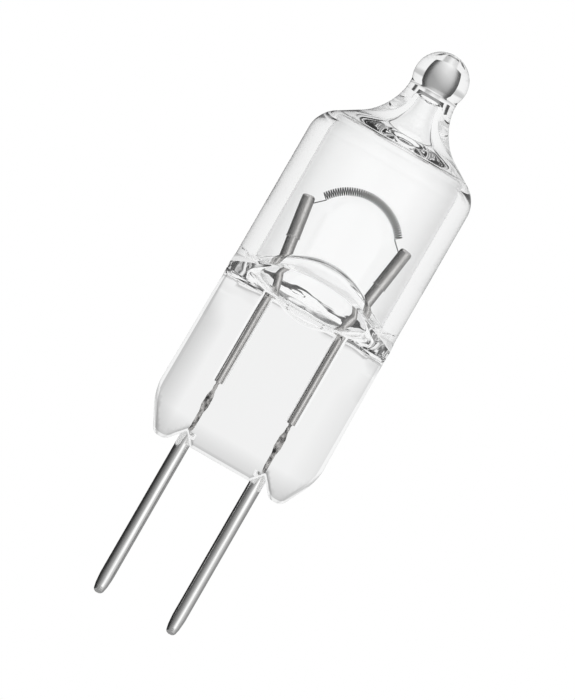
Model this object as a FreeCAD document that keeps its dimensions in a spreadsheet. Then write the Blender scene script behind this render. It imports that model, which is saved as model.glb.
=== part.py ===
import FreeCAD, Part
import math
import os

import Sketcher

# A clear quartz capsule lamp: one blown and pressed envelope with a melted tip,
# a coiled filament on two posts, and two round contact pins below the pinch.
# Origin midway between the pins at the flat of the pinch's bottom edge,
# +Z up the bulb axis, X through both pins. Millimetres and degrees.

sizes = {
    # contact pins
    "pin_spacing": 4.0,
    "pin_diameter": 0.70,
    "pin_free_length": 8.27,
    "pin_nose_length": 0.80,
    "pin_nose_diameter": 0.24,
    "pin_nose_blend": 1.20,
    "pin_grip": 0.67,
    "plating_thickness": 0.01,
    "plating_gap": 0.20,
    # barrel, shoulder, neck and melted tip of the envelope
    "barrel_radius": 4.36,
    "barrel_wall": 0.86,
    "barrel_top": 16.14,
    "shoulder_radius": 1.425,
    "shoulder_slope": 32.0,
    "neck_radius": 1.25,
    "neck_flare_radius": 2.72,
    "neck_length": 0.11,
    "tip_radius": 1.375,
    "tip_fillet": 0.40,
    # sealed space inside the barrel
    "roof_start": 16.61,
    "roof_bevel": 0.46,
    "roof_slope": 12.0,
    "funnel_radius": 2.40,
    "funnel_bore_radius": 0.55,
    "funnel_bore_length": 0.50,
    "funnel_end_bevel": 0.30,
    "floor_height": 7.75,
    "floor_bowl_drop": 0.30,
    "floor_bowl_margin": 0.06,
    "floor_wedge_slope": 40.0,
    "floor_wedge_round": 0.30,
    "floor_bowl_slope": 31.0,
    "floor_bowl_radius": 4.20,
    "floor_bowl_corner": 2.70,
    # pressed pinch
    "pinch_thickness": 2.60,
    "pinch_top": 8.43,
    "pinch_top_half_width": 4.35,
    "pinch_low_half_width": 4.45,
    "pinch_corner_height": 1.60,
    "pinch_corner_radius": 1.80,
    "pinch_edge_round": 0.22,
    "press_slope": 28.0,
    "press_height": 9.83,
    "press_fillet": 0.40,
    "lobe_drop": 0.26,
    "lobe_outer": 3.50,
    "lobe_inner": 2.86,
    "lobe_radius": 0.30,
    "notch_height": 0.60,
    "notch_shift": 0.13,
    "notch_inner_run": 0.52,
    # leads, sleeves and seals
    "lead_diameter": 0.60,
    "lead_gap": 0.02,
    "lead_start": 3.33,
    "lead_bend_height": 8.55,
    "lead_bend_radius": 0.90,
    "lead_lean_angle": 8.6,
    "lead_end_height": 12.62,
    "sleeve_diameter": 0.67,
    "sleeve_clearance": 0.005,
    "sleeve_bottom_height": 11.09,
    "sleeve_top_height": 13.26,
    "sleeve_cap": 0.10,
    "sleeve_top_bevel": 0.06,
    "foil_half_width": 0.19,
    "foil_half_thickness": 0.030,
    "foil_height": 2.22,
    "bead_radius": 0.10,
    # filament
    "filament_span": 4.07,
    "filament_end_height": 13.57,
    "filament_rise": 1.11,
    "coil_diameter": 0.37,
    "wire_diameter": 0.056,
    "coil_turns": 44,
    "leg_height": 13.02,
    "leg_insertion": 0.07,
    "leg_hole_clearance": 0.006,
}

WIRE_SIDES = 4
POINTS_PER_TURN = 8

doc = FreeCAD.newDocument("halogen_capsule")
sheet = doc.addObject("Spreadsheet::Sheet", "sizes")
for row, (alias, number) in enumerate(sizes.items(), start=1):
    sheet.set("A%d" % row, alias)
    sheet.set("B%d" % row, str(number))
    sheet.setAlias("B%d" % row, alias)
doc.recompute()

V = FreeCAD.Vector
SIDES = {"left": -1, "right": 1}


def size(alias):
    return float(getattr(sheet, alias))


def cos(angle):
    return math.cos(math.radians(angle))


def tan(angle):
    return math.tan(math.radians(angle))


def bind(feature, **formulas):
    """Ties properties of a feature to formulas on the sheet's aliases."""
    for name, formula in formulas.items():
        feature.setExpression(name, formula)


def new_body(name):
    return doc.addObject("PartDesign::Body", name)


def origin_plane(body, role):
    return next(f for f in body.Origin.OriginFeatures if f.Role == role)


def body_sketch(body, name, role, height=0.0):
    sketch = body.newObject("Sketcher::SketchObject", name)
    sketch.AttachmentSupport = [(origin_plane(body, role), "")]
    sketch.MapMode = "FlatFace"
    sketch.AttachmentOffset = FreeCAD.Placement(V(0, 0, height), FreeCAD.Rotation())
    return sketch


def join(sketch, first, second, point):
    """Makes two neighbours of an outline share the point where they meet, tangent where one is an arc."""
    def end_of(index):
        return 1 if sketch.getPoint(index, 1).distanceToPoint(point) < 1e-6 else 2

    curved = any(isinstance(sketch.Geometry[i], Part.ArcOfCircle) for i in (first, second))
    kind = "Tangent" if curved else "Coincident"
    sketch.addConstraint(Sketcher.Constraint(kind, first, end_of(first), second, end_of(second)))


def draw_corners(sketch, corners):
    """Closed outline through (x, y, rounding) corners, where rounding is an alias of the sheet or None."""
    count = len(corners)
    pieces = []
    starts = []
    for i, (x, y, rounding) in enumerate(corners):
        here = V(x, y, 0)
        back = (V(*corners[i - 1][:2], 0) - here).normalize()
        ahead = (V(*corners[(i + 1) % count][:2], 0) - here).normalize()
        half = back.getAngle(ahead) / 2
        radius = size(rounding) if rounding else 0.0
        reach = radius / math.tan(half)
        starts.append(here + back * reach)
        if rounding:
            centre = here + (back + ahead).normalize() * (radius / math.sin(half))
            middle = centre + (here - centre).normalize() * radius
            index = sketch.addGeometry(Part.Arc(starts[i], middle, here + ahead * reach))
            name = sketch.addConstraint(Sketcher.Constraint("Radius", index, radius))
            sketch.setExpression("Constraints[%d]" % name, "sizes." + rounding)
            pieces.append((index, starts[i], here + ahead * reach))
        else:
            pieces.append((None, here, here))
    outline = []
    for i, (arc, start, end) in enumerate(pieces):
        if arc is not None:
            outline.append((arc, start))
        following = starts[(i + 1) % count]
        outline.append((sketch.addGeometry(Part.LineSegment(end, following)), end))
    for i, (index, start) in enumerate(outline):
        join(sketch, outline[i - 1][0], index, start)


def draw_circle(sketch, x, y, formula, radius):
    index = sketch.addGeometry(Part.Circle(V(x, y, 0), V(0, 0, 1), radius))
    name = sketch.addConstraint(Sketcher.Constraint("Radius", index, radius))
    sketch.setExpression("Constraints[%d]" % name, formula)


def revolved(body, name, sketch):
    feature = body.newObject("PartDesign::Revolution", name)
    feature.Profile = sketch
    feature.ReferenceAxis = (sketch, ["V_Axis"])
    feature.Angle = 360
    doc.recompute()
    return feature


def both_ways(body, kind, name, sketch, formula):
    """Pad or Pocket that runs the same length to both sides of its sketch."""
    feature = body.newObject("PartDesign::" + kind, name)
    feature.Profile = sketch
    feature.Midplane = True
    bind(feature, Length=formula)
    doc.recompute()
    return feature


def rounded(body, name, base, alias, test):
    """Fillet on the base feature's edges that pass a test."""
    fillet = body.newObject("PartDesign::Fillet", name)
    edges = [i for i, edge in enumerate(base.Shape.Edges, start=1) if test(edge)]
    fillet.Base = (base, ["Edge%d" % i for i in edges])
    bind(fillet, Radius="sizes." + alias)
    doc.recompute()
    return fillet


def cylinder(name, start, direction, formulas):
    """Round bar from a start point along a direction, its radius and length bound to the sheet."""
    bar = doc.addObject("Part::Cylinder", name)
    bind(bar, **formulas)
    bar.Placement = FreeCAD.Placement(start, FreeCAD.Rotation(V(0, 0, 1), direction))
    return bar


def mirrored_outline(half):
    """Corners of an outline that is the same left and right, from its right half, top to bottom."""
    return half + [(-x, y, rounding) for x, y, rounding in reversed(half)]


# Heights up the outside, from the corners where its straight stretches would meet.
barrel_radius = size("barrel_radius")
half_pinch = size("pinch_thickness") / 2
barrel_bottom = size("pinch_top") - half_pinch
half_turn = tan((90 - size("shoulder_slope")) / 2)
shoulder_corner = size("barrel_top") + size("shoulder_radius") * half_turn
neck_corner = shoulder_corner + (barrel_radius - size("neck_radius")) * tan(size("shoulder_slope"))
neck_end = neck_corner + size("neck_flare_radius") * half_turn + size("neck_length")
tip_centre = neck_end + math.sqrt(
    (size("tip_radius") + size("tip_fillet")) ** 2 - (size("neck_radius") + size("tip_fillet")) ** 2
)

# The posts lean outwards from the bend, and the sleeves lie on the same two lines.
pin_x = size("pin_spacing") / 2
wire_radius = size("wire_diameter") / 2


def post_point(side, height):
    run = (height - size("lead_bend_height")) * tan(size("lead_lean_angle"))
    return V(side * (pin_x + run), 0, height)


def barrel():
    """Blown barrel with its shoulder, neck and melted tip, pressed in below from both faces."""
    body = new_body("barrel")
    sketch = body_sketch(body, "outer_profile", "XZ_Plane")
    draw_corners(sketch, [
        (0, barrel_bottom, None),
        (barrel_radius, barrel_bottom, None),
        (barrel_radius, shoulder_corner, "shoulder_radius"),
        (size("neck_radius"), neck_corner, "neck_flare_radius"),
        (size("neck_radius"), tip_centre, None),
        (0, tip_centre, None),
    ])
    revolved(body, "blown_barrel", sketch)

    press = body_sketch(body, "press_profile", "YZ_Plane")
    outside = barrel_radius + half_pinch
    slope = tan(size("press_slope"))
    foot = size("press_height") - (barrel_radius - half_pinch) * slope
    for side in SIDES.values():
        draw_corners(press, [
            (side * half_pinch, barrel_bottom - half_pinch, None),
            (side * half_pinch, foot, "press_fillet"),
            (side * outside, foot + (outside - half_pinch) * slope, None),
            (side * outside, barrel_bottom - half_pinch, None),
        ])
    both_ways(body, "Pocket", "pressed_faces", press, "4 * sizes.barrel_radius")

    tip = body.newObject("PartDesign::AdditiveSphere", "melted_tip")
    tip.AttachmentSupport = [(origin_plane(body, "XY_Plane"), "")]
    tip.MapMode = "FlatFace"
    tip.AttachmentOffset = FreeCAD.Placement(V(0, 0, tip_centre), FreeCAD.Rotation())
    bind(tip, Radius="sizes.tip_radius")
    doc.recompute()
    rounded(body, "tip_root", tip, "tip_fillet", lambda edge: (
        edge.BoundBox.ZLength < 1e-3 and neck_end < edge.BoundBox.ZMin < tip_centre
    ))
    return body


def pinch():
    """Flat pinch with its rounded rim, the lobes at its corners and a notch over each pin."""
    body = new_body("pinch")
    sketch = body_sketch(body, "pinch_outline", "XZ_Plane")
    notch_x = pin_x + size("notch_shift")
    draw_corners(sketch, mirrored_outline([
        (size("pinch_top_half_width"), size("pinch_top"), None),
        (size("pinch_low_half_width"), size("pinch_corner_height"), "pinch_corner_radius"),
        (size("lobe_outer"), -size("lobe_drop"), "lobe_radius"),
        (size("lobe_inner"), -size("lobe_drop"), "lobe_radius"),
        (notch_x, size("notch_height"), None),
        (notch_x - size("notch_inner_run"), 0, None),
    ]))
    slab = both_ways(body, "Pad", "slab", sketch, "sizes.pinch_thickness")
    rounded(body, "rim", slab, "pinch_edge_round", lambda edge: edge.BoundBox.YLength < 1e-6)
    return body


def hollow():
    """The sealed space: a round room with a funnel into the tip and a wedge-shaped floor."""
    body = new_body("hollow")
    inner = barrel_radius - size("barrel_wall")
    bore = size("funnel_bore_radius")
    roof_edge = inner - size("roof_bevel")
    roof_height = size("roof_start") + size("roof_bevel")
    funnel_corner = roof_height + (roof_edge - bore) * tan(size("roof_slope"))
    funnel_top = (
        funnel_corner + size("funnel_radius") * tan((90 - size("roof_slope")) / 2) + size("funnel_bore_length")
    )
    low = size("floor_height") - barrel_radius
    sketch = body_sketch(body, "inner_profile", "XZ_Plane")
    draw_corners(sketch, [
        (0, low, None),
        (inner, low, None),
        (inner, size("roof_start"), None),
        (roof_edge, roof_height, None),
        (bore, funnel_corner, "funnel_radius"),
        (bore, funnel_top - size("funnel_end_bevel"), None),
        (bore - size("funnel_end_bevel"), funnel_top, None),
        (0, funnel_top, None),
    ])
    revolved(body, "room", sketch)

    # Across the pinch the walls close in a wedge.
    wedge = body_sketch(body, "wedge_profile", "YZ_Plane")
    slope = size("floor_wedge_slope")
    apex = size("floor_height") - size("floor_wedge_round") * (1 / cos(slope) - 1)
    reach = barrel_radius + half_pinch
    draw_corners(wedge, [
        (0, apex, "floor_wedge_round"),
        (reach, apex + reach * tan(slope), None),
        (reach, low - half_pinch, None),
        (-reach, low - half_pinch, None),
        (-reach, apex + reach * tan(slope), None),
    ])
    both_ways(body, "Pocket", "wedge_floor", wedge, "4 * sizes.barrel_radius")

    # Along the pinch the floor is a shallow bowl.
    bowl = body_sketch(body, "bowl_profile", "XZ_Plane")
    slope = size("floor_bowl_slope")
    lowest = size("floor_height") - size("floor_bowl_drop")
    apex = lowest - size("floor_bowl_radius") * (1 / cos(slope) - 1)
    wide = inner + size("floor_bowl_margin")
    corner = apex + wide * tan(slope)
    draw_corners(bowl, [
        (wide, size("roof_start"), None),
        (wide, corner, "floor_bowl_corner"),
        (0, apex, "floor_bowl_radius"),
        (-wide, corner, "floor_bowl_corner"),
        (-wide, size("roof_start"), None),
        (-reach, size("roof_start"), None),
        (-reach, low - half_pinch, None),
        (reach, low - half_pinch, None),
        (reach, size("roof_start"), None),
    ])
    both_ways(body, "Pocket", "bowl_floor", bowl, "4 * sizes.barrel_radius")
    return body


def contact_pin(name, side):
    """Straight round pin with a bullet nose, its bare inner end held in the pinch."""
    pin = new_body("contact_pin_" + name)
    sketch = body_sketch(pin, "pin_profile_" + name, "XZ_Plane")
    radius = size("pin_diameter") / 2
    tip = -size("pin_free_length")
    draw_corners(sketch, [
        (0, tip, None),
        (size("pin_nose_diameter") / 2, tip, None),
        (radius, tip + size("pin_nose_length"), "pin_nose_blend"),
        (radius, -size("plating_gap"), None),
        (radius - size("plating_thickness"), -size("plating_gap"), None),
        (radius - size("plating_thickness"), size("pin_grip"), None),
        (0, size("pin_grip"), None),
    ])
    revolved(pin, "turned_pin_" + name, sketch)
    pin.Placement = FreeCAD.Placement(V(side * pin_x, 0, 0), FreeCAD.Rotation())
    return pin


def lead_rod(name, side, clearance):
    """Round rod along a lead, straight through the pinch and leaning outwards above its bend."""
    rod = new_body(name)
    path = body_sketch(rod, "path_of_" + name, "XZ_Plane")
    bend = size("lead_bend_radius") * tan(size("lead_lean_angle") / 2)
    start = V(side * pin_x, size("lead_start"), 0)
    corner = V(side * pin_x, size("lead_bend_height"), 0)
    top = post_point(side, size("lead_end_height"))
    end = V(top.x, top.z, 0)
    bend_start = corner - V(0, bend, 0)
    bend_end = corner + (end - corner).normalize() * bend
    centre = bend_start + V(side * size("lead_bend_radius"), 0, 0)
    middle = centre + (corner - centre).normalize() * size("lead_bend_radius")
    path.addGeometry(Part.LineSegment(start, bend_start))
    path.addGeometry(Part.Arc(bend_start, middle, bend_end))
    path.addGeometry(Part.LineSegment(bend_end, end))
    section = body_sketch(rod, "section_of_" + name, "XY_Plane", size("lead_start"))
    formula = "sizes.lead_diameter / 2" + (" + sizes." + clearance if clearance else "")
    radius = size("lead_diameter") / 2 + (size(clearance) if clearance else 0)
    draw_circle(section, side * pin_x, 0, formula, radius)
    doc.recompute()
    sweep = rod.newObject("PartDesign::AdditivePipe", "sweep_of_" + name)
    sweep.Profile = section
    sweep.Spine = (path, ["Edge1", "Edge2", "Edge3"])
    doc.recompute()
    return rod


def leg_line(side):
    """Where the filament's leg leaves the coil, where it meets the sleeve's axis side, and its direction."""
    coil_end = coil_point(0.0 if side < 0 else 1.0)
    axis = post_point(side, size("leg_height"))
    face = axis - V(side * size("sleeve_diameter") / 2 / cos(size("lead_lean_angle")), 0, 0)
    direction = (face - coil_end).normalize()
    return coil_end, face, direction


def lead_sleeve(name, side):
    """Closed sleeve on the end of a post, with a hole in its inner side for the filament's leg."""
    shell = new_body("sleeve_shell_" + name)
    sketch = body_sketch(shell, "sleeve_profile_" + name, "XZ_Plane")
    bore = size("lead_diameter") / 2 + size("sleeve_clearance")
    radius = size("sleeve_diameter") / 2
    length = (size("sleeve_top_height") - size("sleeve_bottom_height")) / cos(size("lead_lean_angle"))
    draw_corners(sketch, [
        (bore, 0, None),
        (radius, 0, None),
        (radius, length - size("sleeve_top_bevel"), None),
        (radius - size("sleeve_top_bevel"), length, None),
        (0, length, None),
        (0, length - size("sleeve_cap"), None),
        (bore, length - size("sleeve_cap"), None),
    ])
    revolved(shell, "tube_" + name, sketch)
    shell.Placement = FreeCAD.Placement(
        post_point(side, size("sleeve_bottom_height")),
        FreeCAD.Rotation(V(0, 1, 0), side * size("lead_lean_angle")),
    )
    coil_end, face, direction = leg_line(side)
    hole = cylinder("leg_hole_" + name, face - direction * size("sleeve_diameter") / 4, direction, {
        "Radius": "sizes.wire_diameter / 2 + sizes.leg_hole_clearance",
        "Height": "sizes.sleeve_diameter / 2",
    })
    sleeve = doc.addObject("Part::Cut", "lead_sleeve_" + name)
    sleeve.Base = shell
    sleeve.Tool = hole
    return sleeve


def seal_foil(name, side):
    """Narrow feather-edged foil between pin and lead, twisted half way, with a welded bead on top."""
    wide = size("foil_half_width")
    thin = size("foil_half_thickness")
    bead = size("bead_radius")
    bottom = size("pin_grip")
    tall = size("foil_height")
    neck = size("lead_start") - bottom - tall
    stations = [
        (bottom, 0.55 * wide, thin, -52),
        (bottom + 0.18 * tall, 0.85 * wide, thin, -46),
        (bottom + 0.36 * tall, 0.62 * wide, thin, -22),
        (bottom + 0.46 * tall, 0.55 * wide, thin, 0),
        (bottom + 0.62 * tall, wide, thin, 16),
        (bottom + 0.86 * tall, 0.95 * wide, thin, 22),
        (bottom + tall, 0.5 * wide, 1.5 * thin, 24),
        (bottom + tall + 0.45 * neck, bead, 0.8 * bead, 24),
        (bottom + tall + 0.75 * neck, 0.75 * bead, 0.6 * bead, 24),
        (size("lead_start"), 1.1 * bead, bead, 24),
    ]
    sections = []
    for i, (height, major, minor, angle) in enumerate(stations):
        turned = FreeCAD.Rotation(V(0, 0, 1), side * angle)
        lens = [(major, 0), (0.5 * major, minor), (-0.5 * major, minor)]
        lens += [(-x, -y) for x, y in lens]
        section = doc.addObject("Part::Polygon", "foil_section_%s_%d" % (name, i))
        section.Nodes = [V(side * pin_x, 0, height) + turned.multVec(V(x, y, 0)) for x, y in lens]
        section.Close = True
        sections.append(section)
    foil = doc.addObject("Part::Loft", "seal_foil_" + name)
    foil.Sections = sections
    foil.Solid = True
    foil.Ruled = True
    return foil


def quartz_envelope(foils):
    """The envelope in one piece: barrel and pinch, less its hollow and the seats of what it holds."""
    blank = doc.addObject("Part::MultiFuse", "envelope_blank")
    blank.Shapes = [barrel(), pinch()]
    blank.Refine = False
    tools = [hollow()] + foils
    for name, side in SIDES.items():
        tools.append(lead_rod("lead_channel_" + name, side, "lead_gap"))
        tools.append(cylinder("pin_hole_" + name, V(side * pin_x, 0, size("pin_grip")), V(0, 0, -1), {
            "Radius": "sizes.pin_diameter / 2 + sizes.lead_gap",
            "Height": "sizes.pin_grip + sizes.pin_diameter",
        }))
    cavities = doc.addObject("Part::MultiFuse", "envelope_cavities")
    cavities.Shapes = tools
    envelope = doc.addObject("Part::Cut", "quartz_envelope")
    envelope.Base = blank
    envelope.Tool = cavities
    return envelope


def coil_arc():
    """Radius, centre height and half angle of the arch that the coil follows."""
    half = size("filament_span") / 2
    rise = size("filament_rise")
    radius = (half ** 2 + rise ** 2) / (2 * rise)
    return radius, size("filament_end_height") + rise - radius, math.asin(half / radius)


def coil_point(share):
    """Point on the coiled wire's centre line, from 0 at the left end to 1 at the right."""
    radius, centre_height, half_angle = coil_arc()
    along = (2 * share - 1) * half_angle
    turn = math.pi + 2 * math.pi * size("coil_turns") * share
    coil_radius = (size("coil_diameter") - size("wire_diameter")) / 2
    out = radius + coil_radius * math.cos(turn)
    return V(
        out * math.sin(along),
        coil_radius * math.sin(turn),
        centre_height + out * math.cos(along),
    )


def mitred_bar(points, corners, radius):
    """Bar of a regular section along straight runs, cut at the half angle of each bend."""
    count = len(points)
    runs = [(points[i + 1] - points[i]).normalize() for i in range(count - 1)]
    across = runs[0].cross(V(0, 1, 0)).normalize()
    beside = runs[0].cross(across)
    ring = []
    for corner in range(corners):
        angle = 2 * math.pi * (corner + 0.5) / corners
        ring.append(points[0] + across * (radius * math.cos(angle)) + beside * (radius * math.sin(angle)))
    sections = [Part.makePolygon(ring + ring[:1])]
    for i in range(1, count):
        run = runs[i - 1]
        normal = run + runs[i] if i < count - 1 else run
        ring = [p + run * ((points[i] - p).dot(normal) / run.dot(normal)) for p in ring]
        sections.append(Part.makePolygon(ring + ring[:1]))
    return Part.makeLoft(sections, True, True)


def filament_coil():
    """One wire: a leg, the arched coil and the other leg, with a square section for the round wire."""
    steps = int(size("coil_turns") * POINTS_PER_TURN)
    points = [coil_point(i / steps) for i in range(steps + 1)]
    for side, place in ((-1, 0), (1, len(points) + 1)):
        coil_end, face, direction = leg_line(side)
        points.insert(place, face + direction * size("leg_insertion"))
    wire = doc.addObject("Part::Feature", "filament_coil")
    wire.Shape = mitred_bar(points, WIRE_SIDES, wire_radius)
    return wire


def main():
    foils = [seal_foil(name, side) for name, side in SIDES.items()]
    nodes = {"quartz_envelope": quartz_envelope(foils)}
    for foil in foils:
        nodes[foil.Name] = foil
    for name, side in SIDES.items():
        nodes["contact_pin_" + name] = contact_pin(name, side)
        nodes["inner_lead_" + name] = lead_rod("inner_lead_" + name, side, None)
        nodes["lead_sleeve_" + name] = lead_sleeve(name, side)
    nodes["filament_coil"] = filament_coil()
    doc.recompute()

    for obj in doc.Objects:
        if "Invalid" in obj.State or "Error" in obj.State:
            raise SystemExit("%s failed: %s" % (obj.Name, obj.State))
    os.makedirs("parts", exist_ok=True)
    for node, obj in nodes.items():
        obj.Label = node
        shape = obj.Shape
        if shape.isNull() or not shape.isValid() or len(shape.Solids) != 1:
            raise SystemExit("%s has no single valid solid" % node)
        shape.exportStep("parts/%s.step" % node)
        print("%s: %.4f mm3, %d faces" % (node, shape.Volume, len(shape.Faces)))


main()
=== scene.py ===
import math

import bmesh
import bpy
from mathutils import Matrix, Vector


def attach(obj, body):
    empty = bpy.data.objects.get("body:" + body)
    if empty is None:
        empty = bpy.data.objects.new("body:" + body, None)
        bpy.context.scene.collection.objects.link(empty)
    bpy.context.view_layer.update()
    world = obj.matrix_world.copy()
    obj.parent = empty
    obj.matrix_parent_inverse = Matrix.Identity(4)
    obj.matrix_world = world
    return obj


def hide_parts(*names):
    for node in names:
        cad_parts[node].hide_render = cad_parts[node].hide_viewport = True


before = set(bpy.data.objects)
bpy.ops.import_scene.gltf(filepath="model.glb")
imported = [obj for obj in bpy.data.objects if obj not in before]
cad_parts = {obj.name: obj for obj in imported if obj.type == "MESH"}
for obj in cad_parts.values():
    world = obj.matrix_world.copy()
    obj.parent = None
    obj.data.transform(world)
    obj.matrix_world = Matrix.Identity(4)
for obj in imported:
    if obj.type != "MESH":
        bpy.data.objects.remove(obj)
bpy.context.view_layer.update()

# A clear quartz capsule lamp. Pieces are modelled in millimetres and scaled to metres when they
# are finished, and the angles that have a name are in degrees.

mm = 0.001
weldGap = 1e-5      # vertices closer than this are joined
levelGap = 1e-4     # a vertex closer than this to a level lies on it
axisGap = 1e-6      # and closer than this to the axis lies on the axis
sides = {"left": -1, "right": 1}

# what pieces share
lamp = {
    "pinSpacing": 4.0,
    "leanAngle": 8.6,       # the posts lean outwards above their bend
    "bendHeight": 8.55,
    "leadStart": 3.33,
    "pinGrip": 0.67,
}
pinX = lamp["pinSpacing"] / 2


def tan(angle):
    return math.tan(math.radians(angle))


def cos(angle):
    return math.cos(math.radians(angle))


def postPoint(side, height):
    run = (height - lamp["bendHeight"]) * tan(lamp["leanAngle"])
    return Vector((side * (pinX + run), 0, height))


# modelling helpers

def flatOutline(corners, plane, segments):
    # one face through (across, up, radius) corners, with the corners rounded
    bm = bmesh.new()
    spread = (lambda a, b: (a, 0, b)) if plane == "XZ" else (lambda a, b: (0, a, b))
    verts = [bm.verts.new(spread(a, b)) for a, b, radius in corners]
    bm.faces.new(verts)
    for vert, (a, b, radius) in zip(verts, corners):
        if radius:
            ways = [edge.other_vert(vert).co - vert.co for edge in vert.link_edges]
            half = ways[0].angle(ways[1]) / 2
            bmesh.ops.bevel(
                bm, geom=[vert], offset=radius / math.tan(half), offset_type="OFFSET",
                segments=segments, profile=0.5, affect="VERTICES", material=-1,
            )
    return bm


def spunSolid(corners, steps, segments):
    # an outline in the XZ plane turned round Z, closed at its poles
    bm = flatOutline(corners, "XZ", segments)
    bmesh.ops.delete(bm, geom=bm.faces[:], context="FACES_ONLY")
    axis = [edge for edge in bm.edges if all(abs(vert.co.x) < axisGap for vert in edge.verts)]
    bmesh.ops.delete(bm, geom=axis, context="EDGES")
    bmesh.ops.spin(
        bm, geom=bm.verts[:] + bm.edges[:], cent=(0, 0, 0), axis=(0, 0, 1), dvec=(0, 0, 0),
        angle=2 * math.pi, steps=steps, use_merge=True, use_duplicate=False,
    )
    bmesh.ops.remove_doubles(bm, verts=bm.verts[:], dist=weldGap)
    bmesh.ops.recalc_face_normals(bm, faces=bm.faces[:])
    return bm


def prism(corners, plane, halfDepth, segments):
    # an outline pushed out to both sides of its plane
    bm = flatOutline(corners, plane, segments)
    along = Vector((0, halfDepth, 0)) if plane == "XZ" else Vector((halfDepth, 0, 0))
    bmesh.ops.translate(bm, verts=bm.verts[:], vec=-along)
    grown = bmesh.ops.extrude_face_region(bm, geom=bm.faces[:])["geom"]
    moved = [item for item in grown if isinstance(item, bmesh.types.BMVert)]
    bmesh.ops.translate(bm, verts=moved, vec=2 * along)
    bmesh.ops.recalc_face_normals(bm, faces=bm.faces[:])
    return bm


def rod(start, end, radius, segments=64):
    # closed round bar between two points
    bm = bmesh.new()
    run = end - start
    turned = run.to_track_quat("Z", "Y").to_matrix().to_4x4()
    bmesh.ops.create_cone(
        bm, cap_ends=True, segments=segments, radius1=radius, radius2=radius, depth=run.length,
        matrix=Matrix.Translation((start + end) / 2) @ turned,
    )
    return bm


def asObject(bm, name):
    mesh = bpy.data.meshes.new(name)
    bm.to_mesh(mesh)
    bm.free()
    piece = bpy.data.objects.new(name, mesh)
    bpy.context.scene.collection.objects.link(piece)
    return piece


def carve(piece, bm, operation):
    # joins a shape to a piece, clips the piece to it or cuts it away
    tool = asObject(bm, "tool")
    modifier = piece.modifiers.new("carve", "BOOLEAN")
    modifier.solver = "EXACT"
    modifier.operation = operation
    modifier.object = tool
    graph = bpy.context.evaluated_depsgraph_get()
    carved = bpy.data.meshes.new_from_object(piece.evaluated_get(graph))
    piece.modifiers.clear()
    old = piece.data
    piece.data = carved
    bpy.data.meshes.remove(old)
    bpy.data.objects.remove(tool)


def finishPiece(piece, material, node, sharpAngle=40):
    # smooth shading with crisp edges, real size, and its place in the frame
    mesh = piece.data
    mesh.transform(Matrix.Scale(mm, 4))
    mesh.materials.clear()
    mesh.materials.append(material)
    mesh.shade_smooth()
    mesh.set_sharp_from_angle(angle=math.radians(sharpAngle))
    weigh = piece.modifiers.new("weighted normals", "WEIGHTED_NORMAL")
    weigh.keep_sharp = True
    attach(piece, "root")
    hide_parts(node)


# materials

def newMaterial(name):
    material = bpy.data.materials.new(name)
    material.use_nodes = True
    nodes = material.node_tree.nodes
    return material, nodes, material.node_tree.links, nodes["Principled BSDF"]


def mathNode(nodes, links, operation, first, second=None):
    node = nodes.new("ShaderNodeMath")
    node.operation = operation
    for socket, value in zip(node.inputs, (first, second)):
        if isinstance(value, (int, float)):
            socket.default_value = value
        elif value is not None:
            links.new(value, socket)
    return node.outputs[0]


def greyRamp(nodes, links, place, stops):
    # stops are (place, grey level)
    node = nodes.new("ShaderNodeValToRGB")
    links.new(place, node.inputs[0])
    ramp = node.color_ramp
    while len(ramp.elements) > 1:
        ramp.elements.remove(ramp.elements[-1])
    for i, (position, level) in enumerate(stops):
        stop = ramp.elements[0] if i == 0 else ramp.elements.new(position)
        stop.position = position
        stop.color = (level, level, level, 1)
    return node.outputs[0]


def between(nodes, links, value, low, high):
    # 1 where the value lies between two limits, else 0
    above = mathNode(nodes, links, "GREATER_THAN", value, low)
    below = mathNode(nodes, links, "LESS_THAN", value, high)
    return mathNode(nodes, links, "MULTIPLY", above, below)


def mixNode(nodes, links, share, first, second, blend="MIX"):
    mix = nodes.new("ShaderNodeMix")
    mix.data_type = "RGBA"
    mix.blend_type = blend
    for name, value in (("Factor", share), ("A", first), ("B", second)):
        socket = next(item for item in mix.inputs if item.name == name and item.enabled)
        if isinstance(value, (int, float, tuple)):
            socket.default_value = value
        else:
            links.new(value, socket)
    return next(item for item in mix.outputs if item.enabled)


def placeInMillimetres(nodes, links, stretch):
    # Object coordinates in millimetres, drawn out by the stretch
    place = nodes.new("ShaderNodeTexCoord")
    scaled = nodes.new("ShaderNodeMapping")
    scaled.inputs["Scale"].default_value = [value / mm for value in stretch]
    links.new(place.outputs["Object"], scaled.inputs["Vector"])
    return scaled.outputs[0]


# what all drawn or rolled surfaces share
drawn = {
    "streakDetail": 4.0,
    "spotDetail": 2.0,
    "streakTones": [(0.32, 0.0), (0.50, 0.45), (0.68, 1.0)],
    "spotTones": [(0.40, 0.0), (0.66, 1.0)],
    "bumpHeight": 0.01,
}


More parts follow.
